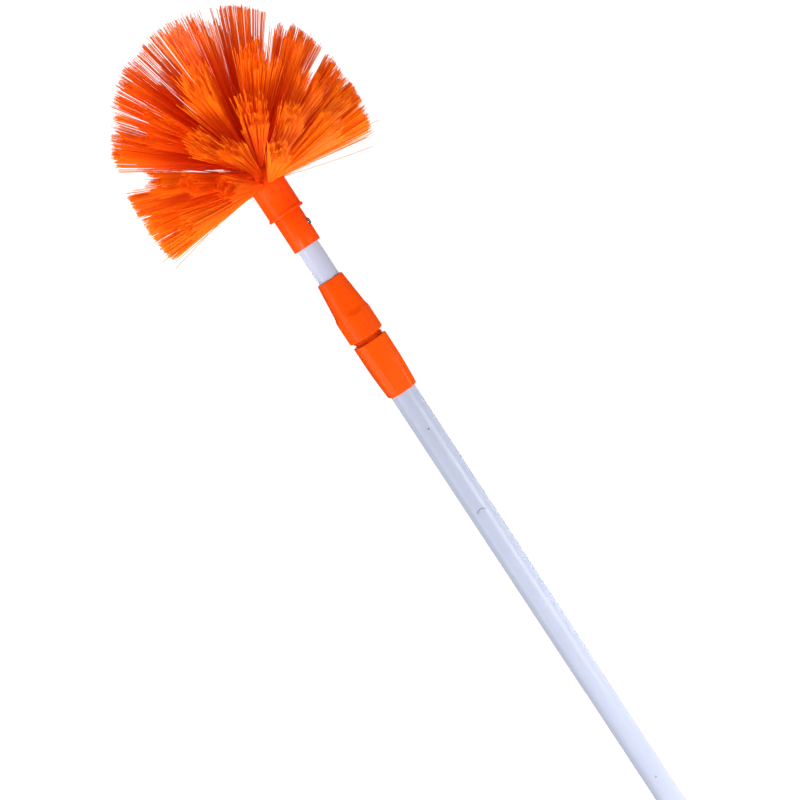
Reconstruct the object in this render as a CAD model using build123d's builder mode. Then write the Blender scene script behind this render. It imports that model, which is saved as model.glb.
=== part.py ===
# Telescopic cobweb brush, closed down as in the photograph, with the head up.
# Millimetres, +Z along the pole. The origin is the centre of the hole in the hanging eye.

import os
from math import atan2, cos, degrees, pi, radians, sin, sqrt, tan

from build123d import *

os.makedirs("parts", exist_ok=True)

# Pole tubes of thin rolled steel
outer_tube_dia = 25.0
outer_tube_wall = 0.5
outer_tube_length = 800.0
inner_tube_dia = 21.0
inner_tube_wall = 0.5
inner_pole_end_gap = 123.5
inner_tube_showing = 35.0

# End cap with the hanging eye
eye_hole_dia = 8.0
eye_width = 18.0
eye_thickness = 6.0
eye_height = 11.0
eye_root_round = 1.5
cap_rim_height = 3.0
cap_rim_proud = 0.5
cap_plug_depth = 20.0
cap_plug_wall = 2.0

# Barrel of the twist lock: four broad faces, and narrower ones where the corners are cut off
grip_sides = 4
grip_turn = 28
barrel_length = 55.0
barrel_flats = 30.4
barrel_foot_flats = 27.4
barrel_corner_cut = 6.4
barrel_edge_cut = 0.7
barrel_swell_shares = ((1, 1), (1, 0.6), (0, 0))
barrel_top_chamfer = 0.8
barrel_tube_depth = 50.0
spigot_dia = 28.5
thread_showing = 4.5
thread_engaged = 20.0

# Collet that the nut squeezes onto the inner tube
collet_ring_height = 4.0
collet_ring_dia = 26.8
collet_root_dia = 25.8
collet_tip_dia = 23.0
collet_finger_length = 22.0
collet_slots = 6
collet_slot_width = 1.6
collet_slot_floor = 2.0

# Nut of the twist lock: round at its foot, with a taper above that has four flats
nut_length = 60.5
nut_foot_dia = 34.2
nut_foot_chamfer = 1.0
nut_shoulder_height = 24.5
nut_head_dia = 26.6
nut_flat_foot_height = 27.5
nut_flat_foot_width = 29.4
nut_flat_head_width = 23.8
nut_ramp_shares = ((0, 0), (0.2, 0.45), (0.5, 0.8), (1, 1))

# Guide bush at the inner tube's foot, and the plug that holds it on
bush_length = 25.0
bush_slit_width = 2.0
bush_plug_head = 2.5
bush_plug_depth = 20.0

# Tip sleeve on the inner tube's head, with the spigot that the brush screws onto
sleeve_dia = 26.8
sleeve_length = 33.0
sleeve_tube_depth = 31.0
head_spigot_dia = 20.0
head_spigot_length = 18.0

# Screw through the sleeve and the tube
screw_height = 18.0
screw_head_dia = 5.6
screw_head_height = 1.9
screw_recess_depth = 1.0
screw_shank_dia = 2.8
screw_shank_past_tube = 3.0

# Brush hub: lip, neck and crown
lip_dia = 34.6
lip_height = 2.7
neck_dia = 32.7
neck_length = 28.0
crown_height = 40.0
crown_sides = 24
crown_outline_shares = ((1, 0), (1, 0.35), (0.9, 0.6), (0.67, 0.86), (0.36, 1))
socket_end_gap = 1.0

# Tufts: one blind hole each, an anchor staple on its floor, and a plug of bristle roots
hole_sides = 6
hole_flats = 3.8
hole_depth = 5.0
staple_width = 3.0
staple_thickness = 1.2
staple_height = 0.8
plug_proud = 0.6
strand_radius = 0.45
strand_sides = 3
strand_root_circle = 1.2
strand_sunk = 0.8
strands_round_centre = 6

# Rounded shape to which the bristles are trimmed, a little squarer than an egg
trim_radius = 107.5
trim_half_height = 127.0
trim_centre_height = 30.0
trim_squareness = 2.2
trim_steps = 30

# Rings of tufts from the neck up: two on the crown's straight side, one on each slope, one on top
ring_tufts = (12, 12, 12, 12, 6, 1)
straight_ring_shares = (0.1, 0.28)
ring_tilts = (95, 85.5, 73, 54, 31, 0)
ring_fans_sideways = (10, 10, 10, 11, 15, 13)
ring_fans_upright = (4, 4.5, 6.5, 8.5, 11, 13)

# Round tapers are drawn with this many sides
taper_sides = 36

# Clearances and one overrun for cuts
push_fit = 0.05
running_fit = 0.1
pole_play = 0.3
thread_play = 0.25
hole_play = 0.1
overrun = 2.0

# Heights along the pole, worked out from the sizes above
tube_foot_z = eye_height + cap_rim_height
tube_head_z = tube_foot_z + outer_tube_length
barrel_foot_z = tube_head_z - barrel_tube_depth
barrel_head_z = barrel_foot_z + barrel_length
nut_foot_z = barrel_head_z + thread_showing
nut_head_z = nut_foot_z + nut_length
spigot_head_z = nut_foot_z + thread_engaged
collet_ring_z = spigot_head_z + collet_ring_height
collet_head_z = collet_ring_z + collet_finger_length
sleeve_foot_z = nut_head_z + inner_tube_showing
sleeve_head_z = sleeve_foot_z + sleeve_length
inner_tube_head_z = sleeve_foot_z + sleeve_tube_depth
bush_plug_foot_z = tube_foot_z + cap_plug_depth + inner_pole_end_gap
inner_tube_foot_z = bush_plug_foot_z + bush_plug_head
neck_head_z = sleeve_head_z + neck_length
trim_centre_z = neck_head_z + trim_centre_height

# Radii that several pieces share
outer_bore_radius = outer_tube_dia / 2 - outer_tube_wall
inner_bore_radius = inner_tube_dia / 2 - inner_tube_wall
pole_way_radius = inner_tube_dia / 2 + pole_play


def tube(outside_radius, inside_radius, foot_z, length):
    """A plain round tube standing at foot_z."""
    with BuildSketch(Plane.XY.offset(foot_z)) as ring:
        Circle(outside_radius)
        Circle(inside_radius, mode=Mode.SUBTRACT)
    extrude(ring.sketch, amount=length)


def bore(radius, foot_z, length):
    """A round hole along the pole's axis."""
    with BuildSketch(Plane.XY.offset(foot_z)) as hole:
        Circle(radius)
    extrude(hole.sketch, amount=length, mode=Mode.SUBTRACT)


def sloping_block(section, start_z, height, draw_in, mode=Mode.ADD):
    """Carry a section from start_z up, or down if height is negative, closing in by draw_in."""
    slope = degrees(atan2(draw_in, abs(height)))
    block = extrude(section, amount=abs(height), taper=slope, mode=Mode.PRIVATE)
    add(Plane(origin=(0, 0, start_z), z_dir=(0, 0, height)) * block, mode=mode)


def many_sides(flat_radius, sides=taper_sides):
    """A regular section with a flat towards +X."""
    with BuildSketch() as section:
        RegularPolygon(flat_radius, sides, major_radius=False, rotation=180 / sides)
    return section.sketch


def grip_section(flat_radius, cuts=()):
    """The square section of the grips, turned by grip_turn, with its vertices cut off by each cut."""
    with BuildSketch() as section:
        RegularPolygon(
            flat_radius, grip_sides, major_radius=False, rotation=grip_turn + 180 / grip_sides
        )
        for cut in cuts:
            chamfer(section.vertices(), cut)
    return section.sketch


def save(piece, name):
    """Label a finished piece and write it under its node's name."""
    piece.part.label = name
    export_step(piece.part, f"parts/{name}.step")


# Outer tube
with BuildPart() as outer_tube:
    tube(outer_tube_dia / 2, outer_bore_radius, tube_foot_z, outer_tube_length)

# End cap: a hollow plug in the tube, a rim under its edge and a flat eye to hang it by
with BuildPart() as end_cap:
    with BuildSketch(Plane.XY.offset(eye_height)):
        Circle(outer_tube_dia / 2 + cap_rim_proud)
    extrude(amount=cap_rim_height)
    with BuildSketch(Plane.YZ) as eye:
        Circle(eye_width / 2)
        with Locations((0, eye_height / 2)):
            Rectangle(eye_width, eye_height)
    extrude(amount=eye_thickness / 2, both=True)
    eye_root = end_cap.edges().filter_by(Axis.Y).filter_by(
        lambda edge: abs(edge.center().Z - eye_height) < overrun / 2
    )
    fillet(eye_root, eye_root_round)
    with BuildSketch(Plane.YZ):
        Circle(eye_hole_dia / 2)
    extrude(amount=eye_thickness, both=True, mode=Mode.SUBTRACT)
    tube(
        outer_bore_radius - push_fit,
        outer_bore_radius - push_fit - cap_plug_wall,
        tube_foot_z,
        cap_plug_depth,
    )

# Lock barrel: the grip, the threaded spigot above it, and the way through for both tubes.
# From its head down, the grip keeps its flats at first and then draws in towards its foot
with BuildPart() as lock_barrel:
    barrel_swell = (barrel_flats - barrel_foot_flats) / 2
    for upper, lower in zip(barrel_swell_shares, barrel_swell_shares[1:]):
        sloping_block(
            grip_section(
                barrel_foot_flats / 2 + upper[0] * barrel_swell,
                (barrel_corner_cut, barrel_edge_cut),
            ),
            barrel_foot_z + upper[1] * barrel_length,
            (lower[1] - upper[1]) * barrel_length,
            (upper[0] - lower[0]) * barrel_swell,
        )
    chamfer(lock_barrel.edges().group_by(Axis.Z)[-1], barrel_top_chamfer)
    with BuildSketch(Plane.XY.offset(barrel_head_z)):
        Circle(spigot_dia / 2)
    extrude(amount=spigot_head_z - barrel_head_z)
    bore(outer_tube_dia / 2 + push_fit, barrel_foot_z, barrel_tube_depth)
    bore(pole_way_radius, barrel_foot_z, spigot_head_z - barrel_foot_z)

# Grip collet: a ring on the spigot's end and six springy fingers with a taper outside
with BuildPart() as grip_collet:
    with BuildSketch(Plane.XY.offset(spigot_head_z)):
        Circle(collet_ring_dia / 2)
    extrude(amount=collet_ring_height)
    collet_draw_in = (collet_root_dia - collet_tip_dia) / 2
    sloping_block(
        many_sides(collet_root_dia / 2), collet_ring_z, collet_finger_length, collet_draw_in
    )
    bore(inner_tube_dia / 2 + push_fit, spigot_head_z, collet_ring_height + collet_finger_length)
    with BuildSketch(Plane.XY.offset(collet_ring_z + collet_slot_floor)):
        with PolarLocations(collet_ring_dia / 4, collet_slots):
            Rectangle(collet_ring_dia / 2, collet_slot_width)
    extrude(amount=collet_finger_length, mode=Mode.SUBTRACT)

# Lock nut: a square block with tapering sides, which flare out in short ramps where the flats
# end, trimmed to a round taper on a round foot. Inside are the thread's bore, the collet's taper,
# which clears the collet's corners, and the tube's way
nut_shoulder_z = nut_foot_z + nut_shoulder_height
nut_flat_foot_z = nut_foot_z + nut_flat_foot_height
nut_ramp_height = nut_flat_foot_height - nut_shoulder_height
nut_ramp_reach = (nut_foot_dia - nut_flat_foot_width) / 2
nut_taper_foot_z = collet_ring_z + running_fit
nut_taper_length = collet_finger_length + pole_play
nut_taper_radius = collet_root_dia / 2 / cos(pi / taper_sides) + running_fit
with BuildPart() as lock_nut:
    sloping_block(
        grip_section(nut_flat_foot_width / 2),
        nut_flat_foot_z,
        nut_head_z - nut_flat_foot_z,
        (nut_flat_foot_width - nut_flat_head_width) / 2,
    )
    for upper, lower in zip(nut_ramp_shares, nut_ramp_shares[1:]):
        sloping_block(
            grip_section(nut_flat_foot_width / 2 + lower[0] * nut_ramp_reach),
            nut_flat_foot_z - lower[1] * nut_ramp_height,
            (lower[1] - upper[1]) * nut_ramp_height,
            (lower[0] - upper[0]) * nut_ramp_reach,
        )
    sloping_block(
        many_sides(nut_foot_dia / 2),
        nut_shoulder_z,
        nut_head_z - nut_shoulder_z,
        (nut_foot_dia - nut_head_dia) / 2,
        mode=Mode.INTERSECT,
    )
    with BuildSketch(Plane.XY.offset(nut_foot_z)):
        Circle(nut_foot_dia / 2)
    extrude(amount=nut_shoulder_height)
    chamfer(lock_nut.edges().group_by(Axis.Z)[0], nut_foot_chamfer)
    bore(spigot_dia / 2 + thread_play, nut_foot_z, nut_taper_foot_z - nut_foot_z)
    sloping_block(
        many_sides(nut_taper_radius),
        nut_taper_foot_z,
        nut_taper_length,
        collet_draw_in / collet_finger_length * nut_taper_length,
        mode=Mode.SUBTRACT,
    )
    bore(pole_way_radius, nut_foot_z, nut_length)

# Inner tube, drilled for the sleeve's screw
screw_plane = Plane(origin=(0, 0, sleeve_foot_z + screw_height), z_dir=(1, 0, 0))
with BuildPart() as inner_tube:
    inner_tube_length = inner_tube_head_z - inner_tube_foot_z
    tube(inner_tube_dia / 2, inner_bore_radius, inner_tube_foot_z, inner_tube_length)
    with BuildSketch(screw_plane):
        Circle(screw_shank_dia / 2 + push_fit)
    extrude(amount=inner_tube_dia, mode=Mode.SUBTRACT)

# Guide bush: a split ring that fills the space between the two tubes
with BuildPart() as guide_bush:
    tube(
        outer_bore_radius - running_fit,
        inner_tube_dia / 2 + push_fit,
        inner_tube_foot_z,
        bush_length,
    )
    with BuildSketch(Plane.XY.offset(inner_tube_foot_z)):
        with Locations((outer_bore_radius / 2, 0)):
            Rectangle(outer_bore_radius, bush_slit_width)
    extrude(amount=bush_length, mode=Mode.SUBTRACT)

# Bush plug: a plug in the inner tube, with a head that carries the bush
with BuildPart() as bush_plug:
    with BuildSketch(Plane.XY.offset(bush_plug_foot_z)):
        Circle(outer_bore_radius - pole_play)
    extrude(amount=bush_plug_head)
    with BuildSketch(Plane.XY.offset(inner_tube_foot_z)):
        Circle(inner_bore_radius - push_fit)
    extrude(amount=bush_plug_depth)

# Tip sleeve: a socket for the tube, a spigot for the brush and a recess for the screw's head
with BuildPart() as tip_sleeve:
    with BuildSketch(Plane.XY.offset(sleeve_foot_z)):
        Circle(sleeve_dia / 2)
    extrude(amount=sleeve_length)
    with BuildSketch(Plane.XY.offset(sleeve_head_z)):
        Circle(head_spigot_dia / 2)
    extrude(amount=head_spigot_length)
    bore(inner_tube_dia / 2 + push_fit, sleeve_foot_z, sleeve_tube_depth)
    with BuildSketch(screw_plane):
        Circle(screw_shank_dia / 2 + push_fit)
    extrude(amount=sleeve_dia, mode=Mode.SUBTRACT)
    with BuildSketch(screw_plane.offset(sleeve_dia / 2 - screw_recess_depth)):
        Circle(screw_head_dia / 2 + running_fit)
    extrude(amount=sleeve_dia, mode=Mode.SUBTRACT)

# Sleeve screw: a pan head and a plain shank
screw_seat = sleeve_dia / 2 - screw_recess_depth
screw_tip = inner_bore_radius - screw_shank_past_tube
with BuildPart() as sleeve_screw:
    with BuildSketch(screw_plane.offset(screw_seat)):
        Circle(screw_head_dia / 2)
    extrude(amount=screw_head_height)
    with BuildSketch(screw_plane.offset(screw_tip)):
        Circle(screw_shank_dia / 2)
    extrude(amount=screw_seat - screw_tip)


def ring_places():
    """Radius and height above the neck where each ring's holes open, as shares of the crown."""
    slopes = list(zip(crown_outline_shares, crown_outline_shares[1:]))[1:]
    on_slopes = [((low[0] + high[0]) / 2, (low[1] + high[1]) / 2) for low, high in slopes]
    return [(1, share) for share in straight_ring_shares] + on_slopes + [(0, 1)]


def tuft_axes(ring):
    """One plane on the floor of each hole in a ring. Its Z points out of the hole."""
    radius_share, height_share = ring_places()[ring]
    tilt = radians(ring_tilts[ring])
    planes = []
    for tuft in range(ring_tufts[ring]):
        turn = 2 * pi * (tuft + ring % 2 / 2) / ring_tufts[ring]
        out = Vector(cos(turn), sin(turn), 0)
        way = out * sin(tilt) + Vector(0, 0, cos(tilt))
        mouth = out * radius_share * neck_dia / 2
        mouth += Vector(0, 0, neck_head_z + height_share * crown_height)
        side = Vector(-sin(turn), cos(turn), 0)
        planes.append(Plane(origin=mouth - way * hole_depth, x_dir=side, z_dir=way))
    return planes


# Brush hub: neck with its lip, crown, screw socket and the blind holes of the tufts
rings = range(len(ring_tufts))
with BuildPart() as brush_hub:
    with BuildSketch(Plane.XY.offset(sleeve_head_z)):
        Circle(lip_dia / 2)
    extrude(amount=lip_height)
    with BuildSketch(Plane.XY.offset(sleeve_head_z)):
        Circle(neck_dia / 2)
    extrude(amount=neck_length)
    for low, high in zip(crown_outline_shares, crown_outline_shares[1:]):
        sloping_block(
            many_sides(low[0] * neck_dia / 2, crown_sides),
            neck_head_z + low[1] * crown_height,
            (high[1] - low[1]) * crown_height,
            (low[0] - high[0]) * neck_dia / 2,
        )
    bore(
        head_spigot_dia / 2 + running_fit,
        sleeve_head_z,
        head_spigot_length + socket_end_gap,
    )
    for ring in rings:
        with BuildSketch(*tuft_axes(ring)):
            RegularPolygon(hole_flats / 2, hole_sides, major_radius=False)
        extrude(amount=hole_depth + overrun, mode=Mode.SUBTRACT)

# Anchor staples: a short flat bar across the floor of each hole
with BuildPart() as tuft_staples:
    with BuildSketch(*[axis for ring in rings for axis in tuft_axes(ring)]):
        Rectangle(staple_width, staple_thickness)
    extrude(amount=staple_height)


def reach_to_trim(start, way):
    """How far a strand runs from start along way before it meets the trimmed shape."""
    near, far = 0, trim_radius + trim_half_height
    for _ in range(trim_steps):
        reach = (near + far) / 2
        end = start + way * reach
        across = sqrt(end.X**2 + end.Y**2) / trim_radius
        up = abs(end.Z - trim_centre_z) / trim_half_height
        if across**trim_squareness + up**trim_squareness < 1:
            near = reach
        else:
            far = reach
    return near


def strands_of(axis, ring):
    """The bristle strands of one tuft: one along its axis and the rest fanned out round it."""
    strands = []
    for strand in range(strands_round_centre + 1):
        spread = 0 if strand == strands_round_centre else 1
        turn = 2 * pi * strand / strands_round_centre
        side = spread * cos(turn)
        rise = spread * sin(turn)
        lean = (
            axis.z_dir
            + axis.x_dir * side * tan(radians(ring_fans_sideways[ring]))
            + axis.y_dir * rise * tan(radians(ring_fans_upright[ring]))
        ).normalized()
        plug_top = axis.origin + axis.z_dir * (hole_depth + plug_proud - strand_sunk)
        start = plug_top + (axis.x_dir * side + axis.y_dir * rise) * strand_root_circle
        section = Plane(origin=start, x_dir=axis.x_dir, z_dir=lean) * RegularPolygon(
            strand_radius, strand_sides
        )
        strands.append(extrude(section, amount=reach_to_trim(start, lean)))
    return strands


def make_tufts(ring):
    """All tufts of a ring: plugs of bristle roots on the staples, fused once with their strands."""
    axes = tuft_axes(ring)
    strands = [strand for axis in axes for strand in strands_of(axis, ring)]
    with BuildPart() as tufts:
        with BuildSketch(*[axis.offset(staple_height) for axis in axes]):
            RegularPolygon(hole_flats / 2 - hole_play, hole_sides, major_radius=False)
        extrude(amount=hole_depth + plug_proud - staple_height)
        add(strands)
    return tufts


save(outer_tube, "outer_tube")
save(end_cap, "end_cap")
save(lock_barrel, "lock_barrel")
save(grip_collet, "grip_collet")
save(lock_nut, "lock_nut")
save(inner_tube, "inner_tube")
save(guide_bush, "guide_bush")
save(bush_plug, "bush_plug")
save(tip_sleeve, "tip_sleeve")
save(sleeve_screw, "sleeve_screw")
save(brush_hub, "brush_hub")
save(tuft_staples, "tuft_staples")
for ring in rings:
    save(make_tufts(ring), f"tufts_ring_{ring + 1}")
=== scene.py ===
from math import cos, pi, radians, sin, sqrt
from random import Random

import bmesh
import bpy
from mathutils import Matrix, Vector


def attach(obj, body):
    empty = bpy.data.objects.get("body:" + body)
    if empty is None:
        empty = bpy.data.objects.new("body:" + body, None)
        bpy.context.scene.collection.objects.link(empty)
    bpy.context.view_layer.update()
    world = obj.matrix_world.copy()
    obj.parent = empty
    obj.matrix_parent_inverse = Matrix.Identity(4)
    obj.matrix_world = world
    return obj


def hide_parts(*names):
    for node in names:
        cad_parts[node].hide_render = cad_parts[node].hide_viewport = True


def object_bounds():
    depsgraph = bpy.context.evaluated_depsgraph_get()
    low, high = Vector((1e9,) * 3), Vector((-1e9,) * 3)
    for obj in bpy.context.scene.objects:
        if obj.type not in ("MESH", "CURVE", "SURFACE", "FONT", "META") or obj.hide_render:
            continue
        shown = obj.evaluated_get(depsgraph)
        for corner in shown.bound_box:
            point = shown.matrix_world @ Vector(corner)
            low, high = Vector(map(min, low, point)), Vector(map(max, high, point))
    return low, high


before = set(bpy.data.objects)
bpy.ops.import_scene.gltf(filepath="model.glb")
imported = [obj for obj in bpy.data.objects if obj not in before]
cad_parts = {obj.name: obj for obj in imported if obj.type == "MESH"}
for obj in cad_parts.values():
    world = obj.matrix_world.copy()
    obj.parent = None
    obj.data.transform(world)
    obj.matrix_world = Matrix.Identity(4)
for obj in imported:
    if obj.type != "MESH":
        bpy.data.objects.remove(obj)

cad_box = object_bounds()
scene = bpy.context.scene
mm = 0.001

# Sizes of the pieces, in mm. Heights are above the hole of the hanging eye, unless a note says
# otherwise.
barrel_foot, barrel_head = 764.0, 819.0
barrel_half_flats, barrel_foot_half_flats = 15.2, 13.7
barrel_corner_cut = 5.8
barrel_straight_from = 33.0  # above the barrel's foot
grip_turn = radians(28)
spigot_crest, spigot_root, thread_pitch = 14.25, 13.2, 3.0
spigot_head = 843.5
tube_socket, pole_way = 12.55, 10.8
tube_socket_head = 814.0

nut_foot, nut_head = 823.5, 884.0
nut_foot_radius, nut_head_radius = 17.1, 13.3
nut_shoulder, nut_flat_foot = 24.5, 28.2  # above the nut's foot
nut_ramp = 6.5
nut_flat_foot_half, nut_flat_head_half = 14.7, 11.9
nut_thread_radius = 14.5
nut_cone_foot, nut_cone_head = 847.7, 869.8
nut_cone_foot_radius, nut_cone_head_radius = 13.05, 11.65

outer_tube_radius = 12.5
neck_head, neck_radius, crown_height = 980.0, 16.35, 40.0

# The crown's radius and height from its foot up, and the heights of the two rings of holes on its
# straight part, as shares of the neck's radius and the crown's height.
crown_outline = ((1, 0), (1, 0.35), (0.9, 0.6), (0.67, 0.86), (0.36, 1))
straight_ring_heights = (0.1, 0.28)

# The round of the pole that faces the photograph's viewer, and the two marks on the outer tube there.
near_turn = radians(-73)
near_side = (outer_tube_radius * mm * cos(near_turn), outer_tube_radius * mm * sin(near_turn))
scuff_spot = (*near_side, 629 * mm)
chip_spot = (*near_side, 317 * mm)


# Nodes. Where several sockets of a node share a name, these are the places of the wanted ones.
mix_amount, mix_colour, mix_other, mix_result = 0, 6, 7, 2
random_low, random_high, random_result = 2, 3, 1


def new_effect(name, inputs, outputs):
    """A shader node group with named sockets. Each is (name, kind, value)."""
    group = bpy.data.node_groups.new(name, "ShaderNodeTree")
    for socket, kind, value in inputs:
        made = group.interface.new_socket(name=socket, in_out="INPUT", socket_type=kind)
        if value is not None:
            made.default_value = value
    for socket, kind in outputs:
        group.interface.new_socket(name=socket, in_out="OUTPUT", socket_type=kind)
    entry = group.nodes.new("NodeGroupInput")
    leave = group.nodes.new("NodeGroupOutput")
    return group, entry.outputs, leave.inputs


def put(tree, kind, links=(), **settings):
    """Adds a node, sets its properties, and feeds its inputs from values or sockets."""
    node = tree.nodes.new(kind)
    for key, value in settings.items():
        setattr(node, key, value)
    for socket, value in links:
        if isinstance(value, bpy.types.NodeSocket):
            tree.links.new(value, node.inputs[socket])
        else:
            node.inputs[socket].default_value = value
    return node


def calc(tree, operation, a, b=0.0):
    """Works out one value from two, by an operation such as ADD or POWER."""
    return put(tree, "ShaderNodeMath", ((0, a), (1, b)), operation=operation).outputs[0]


def product(tree, first, *others):
    """Values multiplied together."""
    for other in others:
        first = calc(tree, "MULTIPLY", first, other)
    return first


def between(tree, value, low, high, to_low=0.0, to_high=1.0):
    """Carries a value from one range over to another, and holds it at both ends."""
    links = ((0, value), (1, low), (2, high), (3, to_low), (4, to_high))
    return put(tree, "ShaderNodeMapRange", links).outputs[0]


def noise(tree, place, size, detail, **more):
    """Cloudy noise from 0 to 1. Its other sockets are given by name."""
    feeds = (("Vector", place), ("Scale", size), ("Detail", detail), *more.items())
    return put(tree, "ShaderNodeTexNoise", feeds).outputs["Fac"]


def blend_colour(tree, amount, colour, other):
    """Goes from one colour to the other as the amount goes from 0 to 1."""
    feeds = ((mix_amount, amount), (mix_colour, colour), (mix_other, other))
    return put(tree, "ShaderNodeMix", feeds, data_type="RGBA").outputs[mix_result]


def height_of(tree, place):
    """How high a point lies, in metres."""
    return put(tree, "ShaderNodeSeparateXYZ", ((0, place),)).outputs["Z"]


def distance_from(tree, place, spot):
    """How far a point is from a spot, in metres."""
    away = put(tree, "ShaderNodeVectorMath", ((0, place), (1, spot)), operation="DISTANCE")
    return away.outputs["Value"]


# Effects that several finishes share.
def make_moulded_skin():
    """The fine orange-peel and slow unevenness of moulded plastic."""
    tree, given, out = new_effect(
        "Moulded skin",
        (("Place", "NodeSocketVector", None), ("Peel size", "NodeSocketFloat", 900.0),
         ("Sink size", "NodeSocketFloat", 60.0)),
        (("Height", "NodeSocketFloat"), ("Clouding", "NodeSocketFloat")),
    )
    peel = noise(tree, given["Place"], given["Peel size"], 2.0)
    sink = noise(tree, given["Place"], given["Sink size"], 3.0)
    peel_share = 0.25
    tree.links.new(calc(tree, "ADD", product(tree, peel, peel_share), sink), out["Height"])
    tree.links.new(between(tree, sink, 0.3, 0.7), out["Clouding"])
    return tree


def make_handling():
    """Rubs and fine scratches from hands and from leaning in a cupboard."""
    tree, given, out = new_effect(
        "Handling rubs",
        (("Place", "NodeSocketVector", None), ("Rub size", "NodeSocketFloat", 30.0),
         ("Share", "NodeSocketFloat", 0.5), ("Along", "NodeSocketFloat", 0.08)),
        (("Rubs", "NodeSocketFloat"), ("Scratches", "NodeSocketFloat")),
    )
    patches = noise(tree, given["Place"], given["Rub size"], 5.0, Roughness=0.65)
    rub_edge = calc(tree, "SUBTRACT", 1.0, given["Share"])
    rub_softness = 0.12
    tree.links.new(between(tree, patches, rub_edge, calc(tree, "ADD", rub_edge, rub_softness)), out["Rubs"])

    long_way = put(tree, "ShaderNodeCombineXYZ", (("X", 1.0), ("Y", 1.0), ("Z", given["Along"])))
    drawn = put(tree, "ShaderNodeVectorMath", ((0, given["Place"]), (1, long_way.outputs[0])),
                operation="MULTIPLY")
    scratch_size = 1500.0
    hairs = noise(tree, drawn.outputs[0], scratch_size, 2.0, Distortion=0.4)
    lines = between(tree, hairs, 0.67, 0.72)
    in_patches = between(tree, patches, 0.4, 0.6)
    tree.links.new(product(tree, lines, in_patches), out["Scratches"])
    return tree


def make_specks():
    """Small scattered specks: chips, rust pin-pricks or dust."""
    tree, given, out = new_effect(
        "Specks",
        (("Place", "NodeSocketVector", None), ("Spacing", "NodeSocketFloat", 60.0),
         ("Size", "NodeSocketFloat", 0.08), ("Share", "NodeSocketFloat", 0.2)),
        (("Specks", "NodeSocketFloat"),),
    )
    cells = put(tree, "ShaderNodeTexVoronoi", (("Vector", given["Place"]), ("Scale", given["Spacing"])))
    dots = calc(tree, "LESS_THAN", cells.outputs["Distance"], given["Size"])
    pick = put(tree, "ShaderNodeSeparateColor", (("Color", cells.outputs["Color"]),))
    few = calc(tree, "LESS_THAN", pick.outputs["Red"], given["Share"])
    tree.links.new(product(tree, dots, few), out["Specks"])
    return tree


moulded_skin = make_moulded_skin()
handling = make_handling()
specks = make_specks()


# Finishes.
def new_finish(name, **plain):
    """A material with its Principled shader; plain values are set on the shader's own sockets."""
    finish = bpy.data.materials.new(name)
    finish.use_nodes = True
    tree = finish.node_tree
    shader = tree.nodes["Principled BSDF"]
    for socket, value in plain.items():
        shader.inputs[socket.replace("_", " ")].default_value = value
    place = put(tree, "ShaderNodeTexCoord").outputs["Object"]
    return finish, tree, shader, place


def effect(tree, group, **values):
    """Places a shared effect in a material with its own values."""
    feeds = [(socket.replace("_", " "), value) for socket, value in values.items()]
    return put(tree, "ShaderNodeGroup", feeds, node_tree=group).outputs


def roughen(tree, shader, height, strength, depth):
    """Gives the shader a fine relief. The depth is in metres."""
    bump = put(tree, "ShaderNodeBump", (("Height", height), ("Strength", strength), ("Distance", depth)))
    tree.links.new(bump.outputs[0], shader.inputs["Normal"])


def moulded_plastic(name, colour, deep_colour, worn_colour, roughness, painted_shade_from=None):
    """Injection-moulded plastic: slow colour drift, orange peel, rubbed and scratched places.

    Painted shade darkens all that lies higher than the height given, in mm, for the shade that falls in a
    thread."""
    finish, tree, shader, place = new_finish(name, IOR=1.46, Specular_IOR_Level=0.1)
    skin = effect(tree, moulded_skin, Place=place)
    marks = effect(tree, handling, Place=place, Share=0.42)
    body = blend_colour(tree, skin["Clouding"], colour, deep_colour)
    for mark, strength in (("Rubs", 0.35), ("Scratches", 0.3)):
        body = blend_colour(tree, product(tree, marks[mark], strength), body, worn_colour)
    # Painted shade: above the given height the colour goes towards a deep red, where shade falls in the
    # thread.
    if painted_shade_from:
        painted_shade_start, painted_shade_end = painted_shade_from * mm, (painted_shade_from + 0.4) * mm
        painted_shade_colour = (0.5, 0.03, 0.001, 1)
        thread_painted_shade = between(tree, height_of(tree, place), painted_shade_start, painted_shade_end, 0.0, 0.8)
        body = blend_colour(tree, thread_painted_shade, body, painted_shade_colour)
    tree.links.new(body, shader.inputs["Base Color"])

    rubbed_roughness = roughness + 0.14
    tree.links.new(between(tree, marks["Rubs"], 0, 1, roughness, rubbed_roughness),
                   shader.inputs["Roughness"])
    scratch_depth = product(tree, marks["Scratches"], -0.5)
    roughen(tree, shader, calc(tree, "ADD", skin["Height"], scratch_depth), 0.12, 0.2 * mm)
    return finish


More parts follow.
